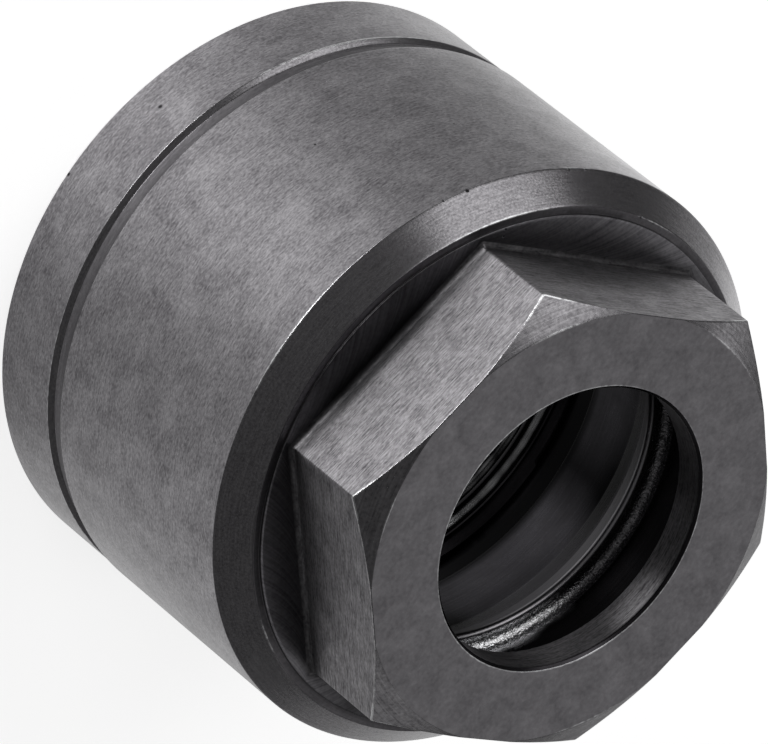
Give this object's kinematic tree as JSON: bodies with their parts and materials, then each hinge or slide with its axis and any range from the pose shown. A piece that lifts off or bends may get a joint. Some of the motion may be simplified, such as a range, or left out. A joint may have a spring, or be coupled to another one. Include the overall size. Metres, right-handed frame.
{
  "type": "hexagon collet nut",
  "caption": "Closed collet nut: cylindrical body with a ring groove, bevelled shoulder and milled hexagon, coned collet seat inside and a spindle thread at the rear.",
  "frame": {"origin": "centre of the rear face, the face the spindle enters, which the nut stands on", "axes": "+Z along the bore axis from the rear face to the hexagon; +Y square to one flat of the hexagon and +X through one of its corners"},
  "size_m": [0.0434, 0.0434, 0.0373],
  "materials": {
    "black_oxide_steel": "turned and milled steel with a dull black oxide coating"
  },
  "bodies": {
    "root": {"collet_nut": "black_oxide_steel"}
  },
  "joints": []
}
